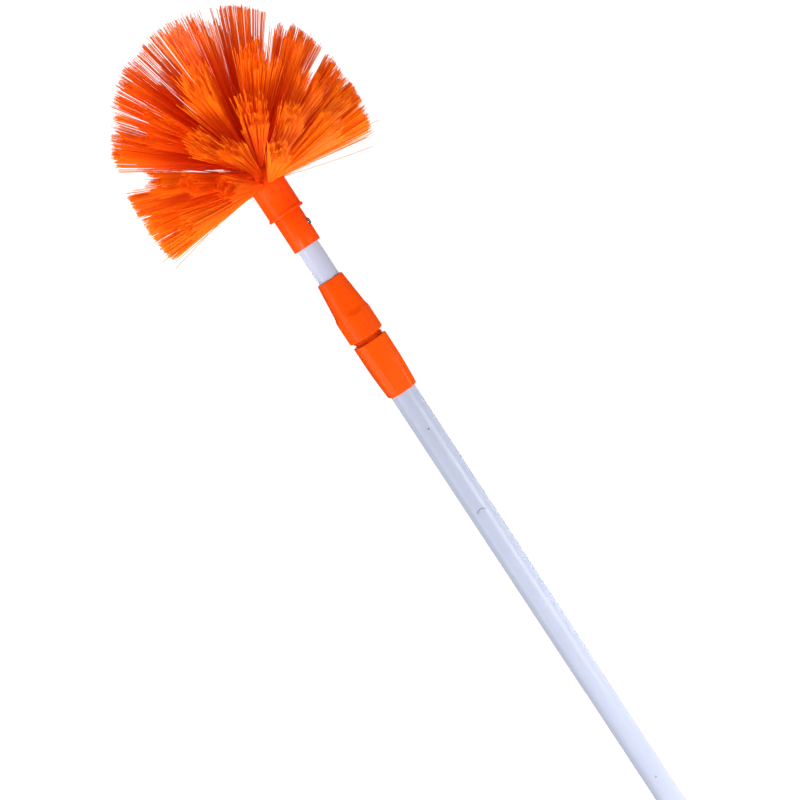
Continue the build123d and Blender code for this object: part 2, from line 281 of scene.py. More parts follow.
def enamelled_steel():
    """Powder coat on thin rolled tube: faint orange peel, long scratches, a few rust pricks."""
    finish, tree, shader, place = new_finish("Pole enamel", Coat_Weight=0.08, Coat_Roughness=0.15, IOR=1.5,
                                             Specular_IOR_Level=0.3, Diffuse_Roughness=1.0)
    skin = effect(tree, moulded_skin, Place=place, Peel_size=1400.0, Sink_size=25.0)
    marks = effect(tree, handling, Place=place, Rub_size=18.0, Share=0.4, Along=0.02)
    rust = effect(tree, specks, Place=place, Spacing=45.0, Size=0.035, Share=0.25)
    scratches = product(tree, marks["Scratches"], 0.35)

    # The scuff is the upper arc of a ring, and the chip is a spot that fades at its edge.
    scuff_radius, scuff_half_width, scuff_fades_at, arc_above = 5 * mm, 0.3 * mm, 0.7 * mm, 2.2 * mm
    off_ring = calc(tree, "ABSOLUTE",
                    calc(tree, "SUBTRACT", distance_from(tree, place, scuff_spot), scuff_radius))
    upper_side = calc(tree, "GREATER_THAN", height_of(tree, place), scuff_spot[2] + arc_above)
    scuff = product(tree, between(tree, off_ring, scuff_half_width, scuff_fades_at, 0.75, 0.0),
                    upper_side)
    chip_radius, chip_fades_at = 0.5 * mm, 1.1 * mm
    chip = between(tree, distance_from(tree, place, chip_spot), chip_radius, chip_fades_at, 0.85, 0.0)

    body = blend_colour(tree, skin["Clouding"], (0.495, 0.53, 0.65, 1), (0.48, 0.515, 0.63, 1))
    for mark, colour in (
        (scratches, (0.33, 0.33, 0.38, 1)),
        (rust["Specks"], (0.22, 0.09, 0.04, 1)),
        (scuff, (0.16, 0.15, 0.16, 1)),
        (chip, (0.16, 0.07, 0.035, 1)),
    ):
        body = blend_colour(tree, mark, body, colour)
    tree.links.new(body, shader.inputs["Base Color"])
    tree.links.new(between(tree, marks["Rubs"], 0, 1, 0.3, 0.4), shader.inputs["Roughness"])
    roughen(tree, shader, calc(tree, "SUBTRACT", skin["Height"], scratches), 0.04, 0.1 * mm)
    return finish


def bristle_plastic():
    """Drawn filament: each one its own tone by the attribute tint, and redder at the roots and higher up by
    painted shade.
    """
    finish, tree, shader, place = new_finish("Bristle orange", Roughness=0.38, Specular_IOR_Level=0.25)
    tint, along = (put(tree, "ShaderNodeAttribute", (), attribute_name=name).outputs["Fac"]
                   for name in ("tint", "along"))
    height = height_of(tree, place)
    plain_orange, pale_orange = (0.98, 0.13, 0.0006, 1), (1.0, 0.37, 0.010, 1)
    upper_painted_shade, root_painted_shade, glow_red = (0.96, 0.06, 0.0, 1), (0.97, 0.02, 0.0, 1), (1.0, 0.02, 0.0, 1)
    tint_share, patch_share = 0.8, 0.2
    patches = noise(tree, place, 35.0, 2.0)
    shade = calc(tree, "ADD", product(tree, tint, tint_share), product(tree, patches, patch_share))
    body = blend_colour(tree, shade, plain_orange, pale_orange)

    # Painted shade: higher tufts are redder and darker, for how the light falls on the crown, though less
    # so at their tips.
    crown_foot, crown_head, upper_tufts = (
        (neck_head + share * crown_height) * mm for share in (0, 1, 2.5))
    upper_painted_shade_amount = product(tree, between(tree, height, crown_foot, upper_tufts, 0.0, 0.8),
                    between(tree, along, 0.5, 1.0, 1.0, 0.5))
    body = blend_colour(tree, upper_painted_shade_amount, body, upper_painted_shade)

    # Painted shade: roots are redder, deep in the tufts where shade falls and the tufts shade one another,
    # though less so in the lowest tufts.
    root_painted_shade_amount = product(tree, between(tree, along, 0.08, 0.85, 0.97, 0.0),
                    between(tree, height, crown_foot, crown_head, 0.4, 1.0))
    body = blend_colour(tree, root_painted_shade_amount, body, root_painted_shade)
    tree.links.new(body, shader.inputs["Base Color"])

    # Stands for the light that passes through the filaments.
    shader.inputs["Emission Color"].default_value = glow_red
    shader.inputs["Emission Strength"].default_value = 0.025
    return finish


def brushed_metal(name, colour, dull_colour, roughness):
    """Plated or drawn steel: fine lines, dull patches."""
    finish, tree, shader, place = new_finish(name, Metallic=1.0)
    marks = effect(tree, handling, Place=place, Rub_size=220.0, Share=0.5)
    skin = effect(tree, moulded_skin, Place=place, Peel_size=2500.0, Sink_size=300.0)
    tree.links.new(blend_colour(tree, marks["Rubs"], colour, dull_colour), shader.inputs["Base Color"])
    dull_roughness = roughness + 0.15
    tree.links.new(between(tree, skin["Clouding"], 0, 1, roughness, dull_roughness),
                   shader.inputs["Roughness"])
    roughen(tree, shader, skin["Height"], 0.2, 0.05 * mm)
    return finish


# A moulding has its colour, its colours where it is clouded and where it is worn, and its roughness.
orange_moulding = moulded_plastic(
    "Orange moulding",
    (0.80, 0.060, 0.0003, 1), (0.77, 0.055, 0.0003, 1), (0.84, 0.080, 0.001, 1), 0.22)
orange_grip = moulded_plastic(
    "Orange grip moulding",
    (0.77, 0.068, 0.0003, 1), (0.74, 0.060, 0.0003, 1), (0.82, 0.088, 0.002, 1), 0.22)
barrel_grip = moulded_plastic(
    "Orange barrel moulding",
    (0.79, 0.080, 0.0003, 1), (0.76, 0.071, 0.0003, 1), (0.83, 0.10, 0.002, 1), 0.22,
    painted_shade_from=barrel_head + 0.1)
collet_nylon = moulded_plastic(
    "Natural nylon",
    (0.75, 0.73, 0.68, 1), (0.70, 0.67, 0.61, 1), (0.62, 0.60, 0.56, 1), 0.45)
bush_black = moulded_plastic(
    "Black polyethylene",
    (0.03, 0.03, 0.034, 1), (0.022, 0.022, 0.025, 1), (0.09, 0.09, 0.095, 1), 0.5)
pole_enamel = enamelled_steel()
bristle_orange = bristle_plastic()
screw_steel = brushed_metal("Zinc-plated steel", (0.55, 0.56, 0.58, 1), (0.40, 0.40, 0.41, 1), 0.28)
staple_wire = brushed_metal("Bright wire", (0.62, 0.61, 0.60, 1), (0.45, 0.43, 0.40, 1), 0.3)


# CAD nodes that stay.
weld_reach, bevel_from = 0.002, radians(35)


def dress(node, finish, edge=0.0):
    """Gives a CAD node its finish, and softens its edges where edge says how far, in mm."""
    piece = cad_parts[node]
    piece.data.materials.clear()
    piece.data.materials.append(finish)
    if edge:
        weld = piece.modifiers.new("Join the facets", "WELD")
        weld.merge_threshold = weld_reach * mm
        bevel = piece.modifiers.new("Soft edges", "BEVEL")
        bevel.width = edge * mm
        bevel.segments = 2
        bevel.limit_method = "ANGLE"
        bevel.angle_limit = bevel_from
        bevel.harden_normals = True


dress("outer_tube", pole_enamel)
dress("inner_tube", pole_enamel)
dress("end_cap", orange_moulding, 0.4)
dress("tip_sleeve", orange_moulding, 0.25)
dress("brush_hub", orange_moulding, 0.2)
dress("grip_collet", collet_nylon, 0.15)
dress("guide_bush", bush_black, 0.15)
dress("bush_plug", bush_black, 0.3)
dress("sleeve_screw", screw_steel, 0.12)
dress("tuft_staples", staple_wire, 0.1)


# Lock barrel and lock nut: how their outsides curve, in mm where it is a length.
barrel_sharpness, nut_sharpness = 36, 50
face_limit, sharp_from = radians(80), radians(38)
barrel_draw_power, nut_ramp_power, nut_ramp_past_round = 1.4, 1.5, 0.8
head_round, head_round_rate = 0.6, 1.5
nut_foot_round, nut_foot_round_rate = 1.3, 0.55
barrel_lip_depth, barrel_lip_height = 0.25, 0.9
thread_slope, thread_crest_width = 4, 1.5
spigot_play, nut_thread_depth = 0.05, 0.9

# Where their threads stop short of the ends, and how their edges are broken, in mm.
spigot_thread_start, spigot_thread_end = 0.3, 0.6
nut_thread_start, nut_thread_end = 2.5, 1.0
spigot_lead, spigot_lead_start, spigot_lead_end = 0.2, 0.1, 0.5
socket_lead, spigot_bore_lead, nut_bore_lead = 0.35, 0.2, 0.25
nut_mouth_lead, nut_mouth_depth, nut_mouth_opening = 0.3, 0.5, 0.6

# How their shells are divided: round the pole, then in height, closer where the curve is tighter. Foot
# rows are mm above the foot and head rows mm below the head; the others are start, end and steps.
shell_sides = 192
barrel_foot_rows, barrel_head_rows = (0.0, 0.12, 0.35, 0.7), (0.8, 0.4, 0.1, 0.0)
barrel_plain_end, barrel_steps, spigot_steps = 1.2, 46, 84
nut_foot_rows, nut_head_rows = (0.0, 0.15, 0.4, 0.8, 1.3), (0.6, 0.3, 0.1, 0.0)
nut_round_rows, nut_shoulder_rows = (2.0, 22.0, 12), (22.6, 29.0, 22)
nut_flats_start, nut_plain_end, nut_flat_steps, nut_thread_steps = 30.0, 1.0, 30, 60


def soft_least(reaches, sharpness):
    """The smallest of the reaches, with the corners between them rounded."""
    return sum(reach ** -sharpness for reach in reaches) ** (-1 / sharpness)


def faces_reach(turn, distance, first_turn):
    """How far a square of flat faces reaches at a turn, for each face that looks that way."""
    found = []
    for side in range(4):
        off = (turn - first_turn - side * pi / 2 + pi) % (2 * pi) - pi
        if abs(off) < face_limit:
            found.append(distance / cos(off))
    return found


def barrel_reach(height, turn):
    """The barrel's outside: a square with its corners cut off, drawn in towards its foot."""
    draw = max(0.0, 1 - height / barrel_straight_from) ** barrel_draw_power
    broad = barrel_half_flats - (barrel_half_flats - barrel_foot_half_flats) * draw
    narrow = (broad * 2 - barrel_corner_cut) / sqrt(2)
    reach = faces_reach(turn, broad, grip_turn) + faces_reach(turn, narrow, grip_turn + pi / 4)
    return soft_least(reach, barrel_sharpness)


def nut_reach(height, turn):
    """The nut's outside: a round body that tapers from its shoulder, cut by four tapering flats."""
    rise = max(0.0, height - nut_shoulder) / (nut_head - nut_foot - nut_shoulder)
    body = nut_foot_radius + (nut_head_radius - nut_foot_radius) * rise
    if height > nut_flat_foot:
        up = (height - nut_flat_foot) / (nut_head - nut_foot - nut_flat_foot)
        flat = nut_flat_foot_half + (nut_flat_head_half - nut_flat_foot_half) * up
    else:
        down = min(1.0, (nut_flat_foot - height) / nut_ramp) ** nut_ramp_power
        flat = nut_flat_foot_half + (nut_foot_radius + nut_ramp_past_round - nut_flat_foot_half) * down
    return soft_least([body] + faces_reach(turn, flat, grip_turn), nut_sharpness)


def thread_reach(height, turn, crest, root):
    """A rounded thread ridge that winds up the pole."""
    phase = (height / thread_pitch - turn / (2 * pi)) % 1
    ridge = min(1.0, max(0.0, thread_crest_width - abs(phase - 0.5) * thread_slope))
    return root + (crest - root) * ridge


def rounding(below_end, radius, rate):
    """How far a side draws in at a distance from its end, in mm."""
    return max(0.0, radius - below_end) ** 2 * rate


def as_piece(name, built):
    """Makes a piece of what bmesh has built, smooth but for its sharp edges."""
    mesh = bpy.data.meshes.new(name)
    built.to_mesh(mesh)
    built.free()
    mesh.shade_smooth()
    mesh.set_sharp_from_angle(angle=sharp_from)
    piece = bpy.data.objects.new(name, mesh)
    scene.collection.objects.link(piece)
    return piece


def turned_shell(name, rows):
    """A closed shell round the pole from rows of (height, reach at a turn). The last joins the first."""
    shell = bmesh.new()
    rings = []
    for height, reach in rows:
        ring = []
        for step in range(shell_sides):
            turn = 2 * pi * step / shell_sides
            out = reach(turn) if callable(reach) else reach
            ring.append(shell.verts.new((out * cos(turn) * mm, out * sin(turn) * mm, height * mm)))
        rings.append(ring)
    for low, high in zip(rings, rings[1:] + rings[:1]):
        for step in range(shell_sides):
            after = (step + 1) % shell_sides
            shell.faces.new((low[step], low[after], high[after], high[step]))
    bmesh.ops.recalc_face_normals(shell, faces=shell.faces)
    return as_piece(name, shell)


def steps(start, end, count):
    """Even steps from start to end, both included."""
    return [start + (end - start) * step / count for step in range(count + 1)]


def make_barrel():
    """The barrel with its threaded spigot, the tube's socket and the way for the inner tube."""
    length = barrel_head - barrel_foot
    heights = [*barrel_foot_rows, *steps(barrel_plain_end, length - barrel_plain_end, barrel_steps),
               *(length - below for below in barrel_head_rows)]
    rows = [(barrel_foot, tube_socket + socket_lead)]
    for height in heights:
        tuck = rounding(min(height, length - height), head_round, head_round_rate)
        lip = barrel_lip_depth * max(0.0, 1 - (length - height) / barrel_lip_height)
        rows.append((barrel_foot + height, lambda turn, h=height, t=tuck + lip: barrel_reach(h, turn) - t))
    rows.append((barrel_head, spigot_root))
    for height in steps(barrel_head + spigot_thread_start, spigot_head - spigot_thread_end, spigot_steps):
        rows.append((height, lambda turn, h=height: thread_reach(
            h, turn, spigot_crest - spigot_play, spigot_root)))
    rows += [
        (spigot_head - spigot_lead, spigot_root - spigot_lead_start),
        (spigot_head, spigot_root - spigot_lead_end),
        (spigot_head, pole_way + spigot_bore_lead),
        (spigot_head - spigot_bore_lead, pole_way),
        (tube_socket_head, pole_way),
        (tube_socket_head, tube_socket),
        (barrel_foot + socket_lead, tube_socket),
    ]
    return turned_shell("lock_barrel_body", rows)


def make_nut():
    """The nut with its thread, the cone that closes the collet and the way for the inner tube."""
    length = nut_head - nut_foot
    heights = [*nut_foot_rows, *steps(*nut_round_rows), *steps(*nut_shoulder_rows),
               *steps(nut_flats_start, length - nut_plain_end, nut_flat_steps),
               *(length - below for below in nut_head_rows)]
    rows = [(nut_foot, nut_thread_radius + nut_mouth_lead)]
    for height in heights:
        tuck = (rounding(height, nut_foot_round, nut_foot_round_rate)
                + rounding(length - height, head_round, head_round_rate))
        rows.append((nut_foot + height, lambda turn, h=height, t=tuck: nut_reach(h, turn) - t))
    rows += [
        (nut_head, pole_way + nut_bore_lead),
        (nut_head - nut_bore_lead, pole_way),
        (nut_cone_head, pole_way),
        (nut_cone_head, nut_cone_head_radius),
        (nut_cone_foot, nut_cone_foot_radius),
        (nut_cone_foot, nut_thread_radius),
    ]
    for height in steps(nut_cone_foot - nut_thread_end, nut_foot + nut_thread_start, nut_thread_steps):
        rows.append((height, lambda turn, h=height: nut_thread_radius + nut_thread_depth
                     - thread_reach(h, turn, nut_thread_depth, 0.0)))
    rows.append((nut_foot + nut_mouth_depth, nut_thread_radius + nut_mouth_opening))
    return turned_shell("lock_nut_body", rows)


barrel_body = make_barrel()
barrel_body.data.materials.append(barrel_grip)
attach(barrel_body, "outer_pole")
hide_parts("lock_barrel")

nut_body = make_nut()
nut_body.data.materials.append(orange_grip)
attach(nut_body, "lock_ring")
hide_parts("lock_nut")


# Bristles, by geometry nodes. First their trimmed shape, then what each ring of tufts has, from the
# lowest ring up: how many tufts, how far they tilt from the pole, how far they are lifted, and half
# of how far they fan, in degrees.
trim_radius, trim_half_height, trim_centre, trim_squareness = 109.5, 130.0, 1010.0, 2.2
ring_tufts = (12, 12, 12, 12, 6, 1)
ring_tilts = (95, 85.5, 73, 54, 31, 0)
ring_lifts = (12.5, 9, 3, 0, 0, 0)
ring_fans_sideways = (4.6, 4.6, 5.4, 6.2, 9, 12)
ring_fans_upright = (5.2, 5.2, 6.2, 7.2, 10, 12)

# The tufts at the two sides are lifted less. Each tuft tilts, turns and twists a little its own way,
# in degrees, and has its own share of the ring's fan. It starts 1.5 mm below its hole's mouth.
side_turn, side_droop = radians(17), 0.76
tilt_range, turn_range, twist_range, fan_range = (-3.5, 1.5), (-4, 4), (-50, 50), (0.8, 1.1)
tuft_seed, below_mouth = 90, 1.5

# The filaments, with lengths in mm. A wave draws them together into bundles, and slides with the
# tuft's fan, so that no two tufts are alike. Stray ones fan wider, ragged ones stop short, and a few
# poke past the trimmed shape. The tint is partly the filament's own and partly its tuft's.
filaments_per_tuft, filament_radius, filament_points = 185, 0.26, 5
tuft_root_radius, ragged_ends, filament_bend = 1.4, 4, 2.5
filament_seed, seed_step = 40, 17
random_uses = ("sideways", "upright", "stray", "ragged", "poke", "bend", "bend turn", "tint")
bundle_wave, bundle_pull, sideways_slide, upright_slide = 9.4, 0.1, 170.0, 90.0
rare_power, ragged_power, bend_power = 14.0, 2.2, 5.0  # the higher, the fewer filaments go far
stray_fan, poke_length, least_bend = 0.4, 3, 0.18
tone_spread, own_tone, tuft_tone = 37.3, 0.55, 0.45
trim_segments, trim_rings = 96, 64


def scaled(tree, vector, amount):
    """A vector times a value."""
    return put(tree, "ShaderNodeVectorMath", ((0, vector), ("Scale", amount)), operation="SCALE").outputs[0]


def added(tree, a, b):
    """Two vectors added up."""
    return put(tree, "ShaderNodeVectorMath", ((0, a), (1, b)), operation="ADD").outputs[0]


def carried(tree, name, kind="FLOAT_VECTOR"):
    """What each point carries under a name."""
    node = put(tree, "GeometryNodeInputNamedAttribute", (("Name", name),), data_type=kind)
    return node.outputs["Attribute"]


def stored(tree, geometry, name, value, kind="FLOAT"):
    """The geometry with a value stored on each point under a name."""
    feeds = (("Geometry", geometry), ("Name", name), ("Value", value))
    return put(tree, "GeometryNodeStoreNamedAttribute", feeds, data_type=kind, domain="POINT").outputs[0]


def chance(tree, given, use, low=0.0, high=1.0):
    """A random value for each filament, different for each use."""
    seed = put(tree, "FunctionNodeIntegerMath", ((0, given["Seed"]), (1, random_uses.index(use) + 1)),
               operation="ADD").outputs[0]
    feeds = ((random_low, low), (random_high, high), ("Seed", seed))
    return put(tree, "FunctionNodeRandomValue", feeds, data_type="FLOAT").outputs[random_result]


def aside(tree, sideways, upright):
    """A vector across the tuft from how far it goes sideways and upright."""
    return added(tree, scaled(tree, carried(tree, "side"), sideways),
                 scaled(tree, carried(tree, "rise"), upright))


def bundled(tree, value, slide):
    """Draws an even spread from -1 to 1 together into three thinner bundles, placed by tuft."""
    phase = product(tree, carried(tree, "fan", "FLOAT"), slide)
    wave = calc(tree, "SINE", calc(tree, "ADD", product(tree, value, bundle_wave), phase))
    return calc(tree, "ADD", value, product(tree, wave, bundle_pull))


def lean_and_root(tree, given):
    """Which way each filament leans, and how far its root lies from the middle of its hole."""
    sideways = bundled(tree, chance(tree, given, "sideways", -1.0), sideways_slide)
    upright = bundled(tree, chance(tree, given, "upright", -1.0), upright_slide)
    stray = calc(tree, "POWER", chance(tree, given, "stray"), rare_power)
    wide = calc(tree, "ADD", carried(tree, "fan", "FLOAT"), product(tree, stray, stray_fan))
    fanned = aside(tree, product(tree, sideways, wide, calc(tree, "TANGENT", given["Fan sideways"])),
                   product(tree, upright, wide, calc(tree, "TANGENT", given["Fan upright"])))
    lean = put(tree, "ShaderNodeVectorMath", ((0, added(tree, carried(tree, "way"), fanned)),),
               operation="NORMALIZE").outputs[0]
    root = aside(tree, product(tree, sideways, given["Tuft root radius"]),
                 product(tree, upright, given["Tuft root radius"]))
    return lean, root


def trimmed_shape(tree, given, here):
    """The shape that the brush is trimmed to: a ball pushed out to a squarer egg."""
    ball = put(tree, "GeometryNodeMeshUVSphere",
               (("Segments", trim_segments), ("Rings", trim_rings), ("Radius", 1.0))).outputs[0]
    spot = put(tree, "ShaderNodeSeparateXYZ", ((0, here),)).outputs
    across = calc(tree, "SQRT", calc(tree, "ADD", product(tree, spot["X"], spot["X"]),
                                     product(tree, spot["Y"], spot["Y"])))
    power = given["Trim squareness"]
    full = calc(tree, "ADD", calc(tree, "POWER", across, power),
                calc(tree, "POWER", calc(tree, "ABSOLUTE", spot["Z"]), power))
    push = calc(tree, "POWER", full, calc(tree, "DIVIDE", -1.0, power))
    sizes = put(tree, "ShaderNodeCombineXYZ", (("X", given["Trim radius"]), ("Y", given["Trim radius"]),
                                               ("Z", given["Trim half height"]))).outputs[0]
    shape = put(tree, "ShaderNodeVectorMath", ((0, scaled(tree, here, push)), (1, sizes)),
                operation="MULTIPLY").outputs[0]
    lift = put(tree, "ShaderNodeCombineXYZ", (("Z", given["Trim centre height"]),)).outputs[0]
    return put(tree, "GeometryNodeSetPosition",
               (("Geometry", ball), ("Position", added(tree, shape, lift)))).outputs[0]


def filament_reach(tree, given, here):
    """How long each filament is: to the trimmed shape, a little short of it, or rarely past it."""
    ray = put(tree, "GeometryNodeRaycast",
              (("Target Geometry", trimmed_shape(tree, given, here)), ("Source Position", here),
               ("Ray Direction", carried(tree, "lean")), ("Ray Length", 1.0)))
    uneven = product(tree, calc(tree, "POWER", chance(tree, given, "ragged"), ragged_power),
                     given["Ragged ends"])
    poke = product(tree, calc(tree, "POWER", chance(tree, given, "poke"), rare_power), poke_length * mm)
    return calc(tree, "ADD", calc(tree, "SUBTRACT", ray.outputs["Hit Distance"], uneven), poke)


def filament_bow(tree, given):
    """How far each filament's tip is bent aside."""
    bent = product(tree, calc(tree, "POWER", chance(tree, given, "bend"), bend_power), given["Bend"])
    bent = calc(tree, "ADD", bent, product(tree, given["Bend"], least_bend))
    turn = chance(tree, given, "bend turn", 0.0, 2 * pi)
    return aside(tree, product(tree, calc(tree, "COSINE", turn), bent),
                 product(tree, calc(tree, "SINE", turn), bent))


def make_bristle_tree():
    """Fans of filaments from points that carry way, side, rise and fan, cut to the trimmed shape."""
    tree = bpy.data.node_groups.new("Bristle fans", "GeometryNodeTree")
    face = tree.interface
    face.new_socket(name="Geometry", in_out="INPUT", socket_type="NodeSocketGeometry")
    for kind, names in (
        ("NodeSocketInt", ("Filaments per tuft", "Seed")),
        ("NodeSocketFloat", ("Filament radius", "Tuft root radius", "Fan sideways", "Fan upright",
                             "Trim radius", "Trim half height", "Trim centre height",
                             "Trim squareness", "Ragged ends", "Bend")),
        ("NodeSocketMaterial", ("Finish",)),
    ):
        for name in names:
            face.new_socket(name=name, in_out="INPUT", socket_type=kind)
    face.new_socket(name="Geometry", in_out="OUTPUT", socket_type="NodeSocketGeometry")
    given = put(tree, "NodeGroupInput").outputs
    leave = put(tree, "NodeGroupOutput")
    here = put(tree, "GeometryNodeInputPosition").outputs[0]

    # One point for each filament, with its lean, its bow and its tint.
    points = put(tree, "GeometryNodeMeshToPoints", (("Mesh", given["Geometry"]),)).outputs[0]
    points = put(tree, "GeometryNodeDuplicateElements",
                 (("Geometry", points), ("Amount", given["Filaments per tuft"])),
                 domain="POINT").outputs[0]
    lean, root = lean_and_root(tree, given)
    points = stored(tree, points, "lean", lean, "FLOAT_VECTOR")
    points = put(tree, "GeometryNodeSetPosition", (("Geometry", points), ("Offset", root))).outputs[0]
    points = stored(tree, points, "bend", filament_bow(tree, given), "FLOAT_VECTOR")
    tone = calc(tree, "FRACT", product(tree, carried(tree, "fan", "FLOAT"), tone_spread))
    tint = calc(tree, "ADD", product(tree, chance(tree, given, "tint"), own_tone),
                product(tree, tone, tuft_tone))
    points = stored(tree, points, "tint", tint)

    # A line on each point, as long as its reach and bowed along its length.
    line = put(tree, "GeometryNodeCurvePrimitiveLine",
               (("Start", (0, 0, 0)), ("End", (0, 0, 1)))).outputs[0]
    line = put(tree, "GeometryNodeResampleCurve", (("Curve", line), ("Count", filament_points))).outputs[0]
    aim = put(tree, "FunctionNodeAlignRotationToVector", (("Vector", carried(tree, "lean")),),
              axis="Z").outputs[0]
    length = put(tree, "ShaderNodeCombineXYZ",
                 (("X", 1.0), ("Y", 1.0), ("Z", filament_reach(tree, given, here)))).outputs[0]
    lines = put(tree, "GeometryNodeInstanceOnPoints",
                (("Points", points), ("Instance", line), ("Rotation", aim), ("Scale", length))).outputs[0]
    lines = put(tree, "GeometryNodeRealizeInstances", (("Geometry", lines),)).outputs[0]
    along = put(tree, "GeometryNodeSplineParameter").outputs["Factor"]
    lines = stored(tree, lines, "along", along)
    curl = scaled(tree, carried(tree, "bend"), product(tree, along, along))
    lines = put(tree, "GeometryNodeSetPosition", (("Geometry", lines), ("Offset", curl))).outputs[0]

    # A three-sided section along each line.
    section = put(tree, "GeometryNodeCurvePrimitiveCircle",
                  (("Resolution", 3), ("Radius", given["Filament radius"]))).outputs[0]
    solid = put(tree, "GeometryNodeCurveToMesh",
                (("Curve", lines), ("Profile Curve", section), ("Fill Caps", True))).outputs[0]
    solid = put(tree, "GeometryNodeRealizeInstances", (("Geometry", solid),)).outputs[0]
    solid = put(tree, "GeometryNodeSetMaterial",
                (("Geometry", solid), ("Material", given["Finish"]))).outputs[0]
    tree.links.new(solid, leave.inputs[0])
    return tree


def ring_places():
    """Radius and height above the neck where each ring's holes open, as shares of the crown."""
    slopes = list(zip(crown_outline, crown_outline[1:]))[1:]
    middles = [((low[0] + high[0]) / 2, (low[1] + high[1]) / 2) for low, high in slopes]
    return [(1, share) for share in straight_ring_heights] + middles + [(0, 1)]


def tuft_mouths(ring):
    """One point in the mouth of each hole of a ring, with the tuft's three directions and its fan."""
    out_share, up_share = ring_places()[ring]
    luck = Random(tuft_seed + ring)
    mouths = []
    for tuft in range(ring_tufts[ring]):
        turn = 2 * pi * (tuft + ring % 2 / 2) / ring_tufts[ring]
        out = Vector((cos(turn), sin(turn), 0))
        mouth = out * out_share * neck_radius + Vector((0, 0, neck_head + up_share * crown_height))
        lift = ring_lifts[ring] * (1 - side_droop * cos(turn - side_turn) ** 2)
        tilt = radians(ring_tilts[ring] + luck.uniform(*tilt_range) - lift)
        turn += radians(luck.uniform(*turn_range))
        out = Vector((cos(turn), sin(turn), 0))
        way = out * sin(tilt) + Vector((0, 0, cos(tilt)))
        twist = Matrix.Rotation(radians(luck.uniform(*twist_range)), 3, way)
        side = twist @ Vector((-sin(turn), cos(turn), 0))
        start = mouth * mm - way * below_mouth * mm
        mouths.append((start, way, side, way.cross(side), luck.uniform(*fan_range)))
    return mouths


def set_input(modifier, name, value):
    """Sets a modifier's input by the identifier of the socket that has this name."""
    for socket in modifier.node_group.interface.items_tree:
        if socket.item_type == "SOCKET" and socket.in_out == "INPUT" and socket.name == name:
            modifier[socket.identifier] = value
            return
    raise KeyError(name)


def make_bristles(ring):
    """The filaments of one ring of tufts, as a plain mesh that stands for the ring's CAD node."""
    mouths = tuft_mouths(ring)
    mesh = bpy.data.meshes.new(f"tuft_mouths_{ring + 1}")
    mesh.from_pydata([mouth[0] for mouth in mouths], [], [])
    for index, name in enumerate(("way", "side", "rise"), start=1):
        layer = mesh.attributes.new(name, "FLOAT_VECTOR", "POINT")
        for point, mouth in enumerate(mouths):
            layer.data[point].vector = mouth[index]
    fan = mesh.attributes.new("fan", "FLOAT", "POINT")
    for point, mouth in enumerate(mouths):
        fan.data[point].value = mouth[4]
    grower = bpy.data.objects.new(f"grower_{ring + 1}", mesh)
    scene.collection.objects.link(grower)
    fans = grower.modifiers.new("Bristle fans", "NODES")
    fans.node_group = bristle_tree
    for name, value in (
        ("Filaments per tuft", filaments_per_tuft),
        ("Filament radius", filament_radius * mm),
        ("Tuft root radius", tuft_root_radius * mm),
        ("Fan sideways", radians(ring_fans_sideways[ring])),
        ("Fan upright", radians(ring_fans_upright[ring])),
        ("Trim radius", trim_radius * mm),
        ("Trim half height", trim_half_height * mm),
        ("Trim centre height", trim_centre * mm),
        ("Trim squareness", trim_squareness),
        ("Ragged ends", ragged_ends * mm),
        ("Bend", filament_bend * mm),
        ("Seed", filament_seed + ring * seed_step),
        ("Finish", bristle_orange),
    ):
        set_input(fans, name, value)
    seen = bpy.context.evaluated_depsgraph_get()
    grown = bpy.data.meshes.new_from_object(grower.evaluated_get(seen), depsgraph=seen)
    grown.name = f"bristles_ring_{ring + 1}"
    grown.shade_flat()
    piece = bpy.data.objects.new(f"bristles_ring_{ring + 1}", grown)
    bpy.data.objects.remove(grower)
    scene.collection.objects.link(piece)
    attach(piece, "brush_head")
    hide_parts(f"tufts_ring_{ring + 1}")


bristle_tree = make_bristle_tree()
for ring in range(len(ring_tufts)):
    make_bristles(ring)


# Single filaments that have left their tufts: height in mm, turn from the viewer's side and tilt from
# the pole in degrees, then length, bow and kink in mm.
stray_filaments = (
    (981, 90, 106.5, 83, 3, 0),
    (990, 82, 96, 98, -4, 0),
    (985, -92, 100, 95, -3, 0),
    (986, -86, 98, 98, 4, 0),
    (996, -70, 84, 96, 8, 0),
    (990, -55, 88, 92, 16, 0),
    (1003, -48, 71, 88, -10, 0),
    (1010, 10, 38, 84, 6, 30),
    (1014, -14, 30, 78, -8, -24),
    (1006, 22, 46, 70, 12, 0),
    (998, -25, 62, 66, 20, 0),
    (1000, 48, 66, 90, -9, 0),
    (1008, 130, 60, 104, 7, 0),
    (992, 175, 84, 106, -8, 0),
    (1004, -140, 70, 105, 9, 0),
)
stray_radius, stray_sunk, stray_steps, kink_from = 0.3, 0.5, 8, 0.6


def add_filament(built, course, radius):
    """A three-sided filament along a course of points."""
    rings = []
    for index, spot in enumerate(course):
        way = (course[min(index + 1, len(course) - 1)] - course[max(index - 1, 0)]).normalized()
        side = way.orthogonal().normalized()
        rings.append([built.verts.new(spot + Matrix.Rotation(2 * pi * step / 3, 3, way) @ side * radius)
                      for step in range(3)])
    for low, high in zip(rings, rings[1:]):
        for step in range(3):
            after = (step + 1) % 3
            built.faces.new((low[step], low[after], high[after], high[step]))
    built.faces.new(rings[0])
    built.faces.new(rings[-1])


